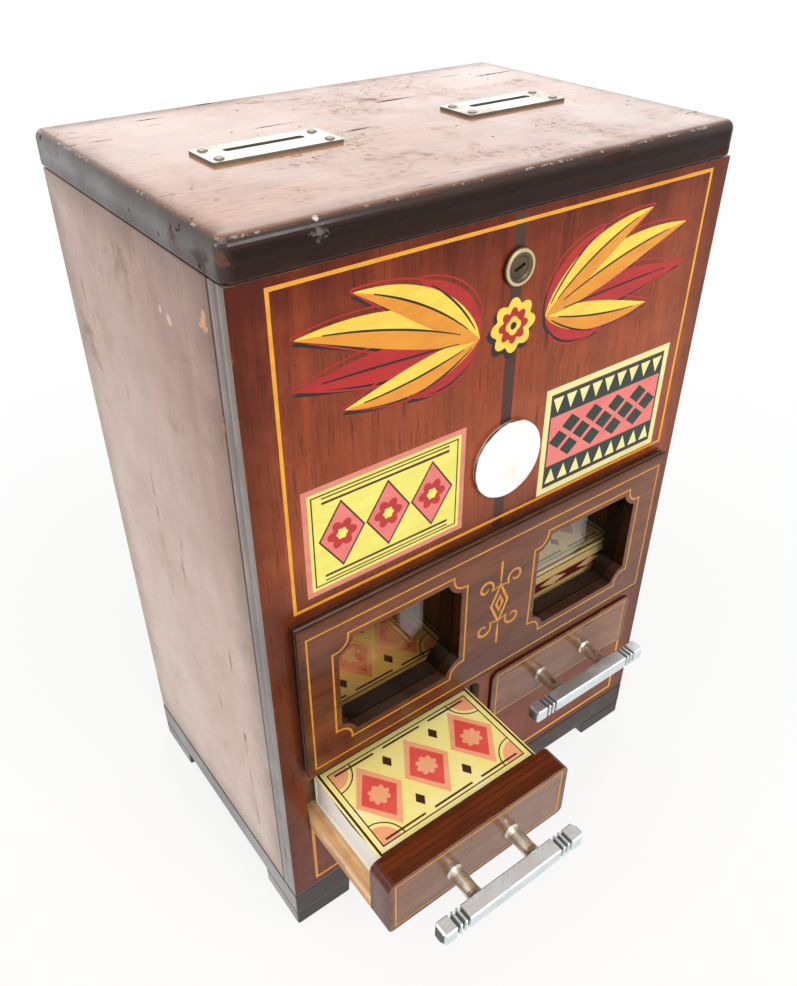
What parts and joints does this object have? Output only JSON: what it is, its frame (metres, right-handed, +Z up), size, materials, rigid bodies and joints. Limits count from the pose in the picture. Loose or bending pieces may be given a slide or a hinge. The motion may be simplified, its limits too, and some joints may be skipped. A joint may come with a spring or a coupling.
{
  "type": "cigarette vending machine",
  "caption": "Small wooden counter vending cabinet with coin slots in a locking lid, notched windows over packet columns and pull-out delivery drawers with bar handles.",
  "frame": {"origin": "on the counter, under the middle of the case", "axes": "+Z up, -Y out of the front with the windows and drawers, +X to the right as seen from the front"},
  "size_m": [0.1954, 0.2041, 0.2979],
  "materials": {
    "varnished_wood": "worn glossy varnish",
    "dark_panel_wood": "worn glossy varnish",
    "black_plinth": "worn black paint",
    "bare_plywood": "oiled, handled",
    "inner_wood": "bare",
    "window_glass": "clear",
    "chrome_bar": "worn chrome plate",
    "nickel_plate": "worn nickel plate",
    "plain_steel": "satin",
    "old_brass": "dull",
    "white_enamel": "chipped gloss enamel",
    "yellow_card": "printed card",
    "green_card": "printed card"
  },
  "bodies": {
    "cabinet": {"feet": "black_plinth", "base_board": "black_plinth", "left_side": "varnished_wood", "right_side": "varnished_wood", "back_panel": "inner_wood", "front_board": "varnished_wood", "window_panel": "dark_panel_wood", "left_glass": "window_glass", "right_glass": "window_glass", "glass_clips": "plain_steel", "lock_case": "nickel_plate", "lock_nut": "old_brass", "enamel_disc": "white_enamel", "centre_divider": "inner_wood", "column_back": "inner_wood", "left_column_guides": "inner_wood", "right_column_guides": "inner_wood", "drawer_deck": "inner_wood", "deck_bearers": "inner_wood", "cash_shelf": "inner_wood", "cash_box": "plain_steel", "left_coin_chute": "plain_steel", "right_coin_chute": "plain_steel", "left_gate_bracket": "plain_steel", "right_gate_bracket": "plain_steel", "gate_pins": "plain_steel", "back_hinge_leaves": "old_brass", "back_hinge_screws": "old_brass", "left_stack": "yellow_card", "right_stack": "green_card"},
    "lid": {"lid": "varnished_wood", "left_coin_plate": "nickel_plate", "right_coin_plate": "nickel_plate", "plate_pins": "plain_steel", "lid_keeper": "plain_steel", "keeper_screws": "plain_steel", "lid_hinge_leaves": "old_brass", "lid_hinge_screws": "old_brass", "hinge_pins": "plain_steel"},
    "lock": {"lock_barrel": "old_brass", "lock_cam": "plain_steel", "cam_screw": "plain_steel"},
    "left_drawer": {"left_drawer_front": "dark_panel_wood", "left_drawer_base": "bare_plywood", "left_drawer_riser": "inner_wood", "left_handle_bar": "chrome_bar", "left_handle_posts": "nickel_plate", "left_handle_screws": "plain_steel", "left_drawer_packet": "yellow_card"},
    "right_drawer": {"right_drawer_front": "dark_panel_wood", "right_drawer_base": "bare_plywood", "right_drawer_riser": "inner_wood", "right_handle_bar": "chrome_bar", "right_handle_posts": "nickel_plate", "right_handle_screws": "plain_steel", "right_drawer_packet": "green_card"},
    "left_gate": {"left_coin_gate": "old_brass"},
    "right_gate": {"right_coin_gate": "old_brass"}
  },
  "joints": [
    {"name": "lid_hinge", "type": "hinge", "parent": "cabinet", "child": "lid", "pos_m": [0, 0.0665, 0.2842], "axis": [-1, 0, 0], "range_deg": [0, 100]},
    {"name": "left_drawer_slide", "type": "slide", "parent": "cabinet", "child": "left_drawer", "axis": [0, -1, 0], "range_m": [-0.051, 0.001]},
    {"name": "right_drawer_slide", "type": "slide", "parent": "cabinet", "child": "right_drawer", "axis": [0, -1, 0], "range_m": [0, 0.052]},
    {"name": "lock_turn", "type": "hinge", "parent": "cabinet", "child": "lock", "pos_m": [0, -0.05, 0.267], "axis": [0, 1, 0], "range_deg": [0, 90]},
    {"name": "left_gate_tip", "type": "hinge", "parent": "cabinet", "child": "left_gate", "pos_m": [-0.048, 0.019, 0.099], "axis": [-1, 0, 0], "range_deg": [-11.77, 0.23]},
    {"name": "right_gate_tip", "type": "hinge", "parent": "cabinet", "child": "right_gate", "pos_m": [0.048, 0.019, 0.099], "axis": [-1, 0, 0], "range_deg": [0, 12]}
  ],
  "couplings": [
    {"joint": "left_gate_tip", "follows": "left_drawer_slide", "rad_per_m": 4.0276},
    {"joint": "right_gate_tip", "follows": "right_drawer_slide", "rad_per_m": 4.0276}
  ]
}
